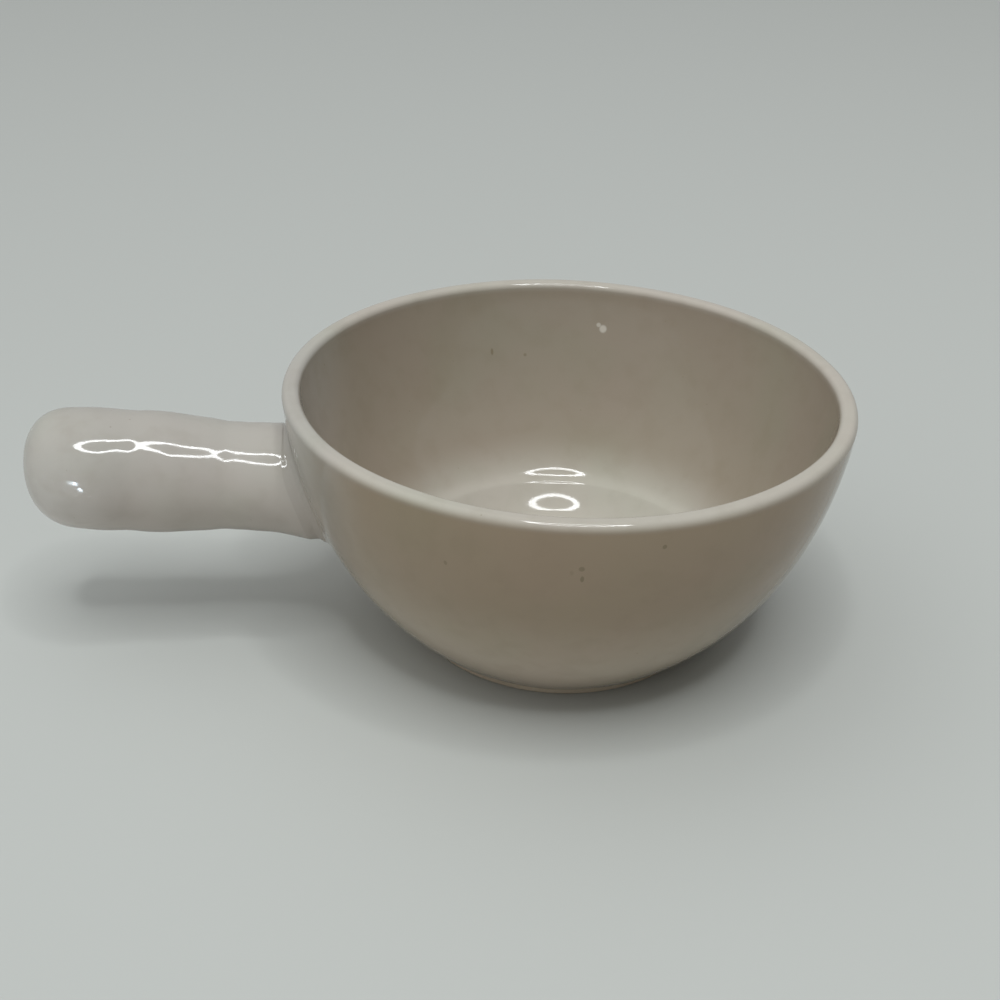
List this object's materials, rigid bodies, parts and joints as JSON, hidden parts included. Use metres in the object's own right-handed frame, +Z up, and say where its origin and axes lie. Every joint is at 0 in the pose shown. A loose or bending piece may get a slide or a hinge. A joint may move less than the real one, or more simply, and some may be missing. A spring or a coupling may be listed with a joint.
{
  "type": "lug soup bowl",
  "caption": "Small round stoneware soup bowl with one straight, blunt-ended stick handle and a bare foot ring, glazed inside and out.",
  "frame": {"origin": "centre of the foot ring, on the plane that the bowl stands on", "axes": "+Z up along the bowl's axis, the handle points along -X, and Y runs across the handle"},
  "size_m": [0.1839, 0.127, 0.0612],
  "materials": {
    "stoneware_clay": "bare fired clay, fine and matt, rubbed smooth on the foot ring",
    "joining_slip": "fired slip under a thin run of clear ivory glaze",
    "ivory_glaze": "glossy ivory glaze with faint mottling and a few dark specks"
  },
  "bodies": {
    "root": {"bowl_body": "stoneware_clay", "handle_body": "stoneware_clay", "joint_slip": "joining_slip", "inner_glaze": "ivory_glaze", "outer_glaze": "ivory_glaze", "handle_glaze": "ivory_glaze", "foot_well_glaze": "ivory_glaze"}
  },
  "joints": []
}
